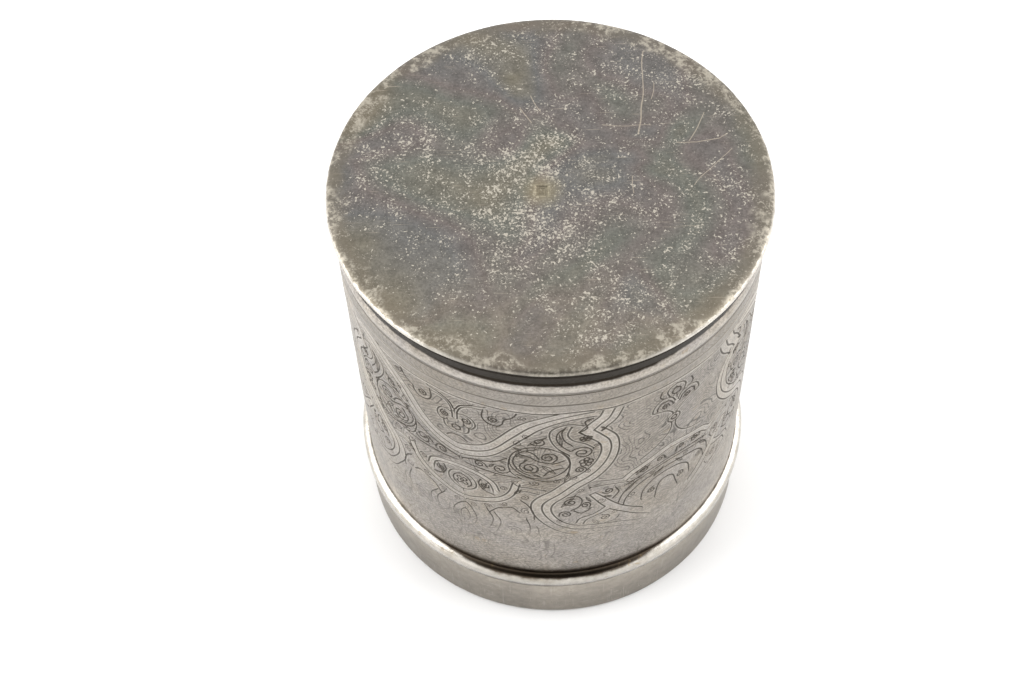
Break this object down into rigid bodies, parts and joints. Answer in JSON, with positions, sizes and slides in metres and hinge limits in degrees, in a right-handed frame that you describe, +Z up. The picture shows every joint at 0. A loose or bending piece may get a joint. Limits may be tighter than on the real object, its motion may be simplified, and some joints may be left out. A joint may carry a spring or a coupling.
{
  "type": "pill box",
  "caption": "Round engraved silver box standing upside down on its slip-on lid: plain disc base on top, engraved wall, plain banded lid that pulls off an inner neck.",
  "frame": {"origin": "centre of the lid's flat face, on the surface that the box stands on", "axes": "+Z up along the axis of the box, from the lid to the base plate; X and Y lie in the surface it stands on, and a viewer in front looks along +Y"},
  "size_m": [0.0508, 0.0508, 0.059],
  "materials": {
    "tarnished_silver": "dull, tarnished",
    "engraved_silver": "satin, engraved, dark in the cuts",
    "plain_silver": "satin, worn"
  },
  "bodies": {
    "lid": {"lid_plate": "plain_silver", "lid_band": "plain_silver", "lid_lip": "plain_silver"},
    "box": {"base_plate": "tarnished_silver", "body_wall": "engraved_silver", "neck_sleeve": "plain_silver"}
  },
  "joints": [
    {"name": "lid_pull", "type": "slide", "parent": "lid", "child": "box", "axis": [0, 0, 1], "range_m": [0, 0.03]}
  ]
}
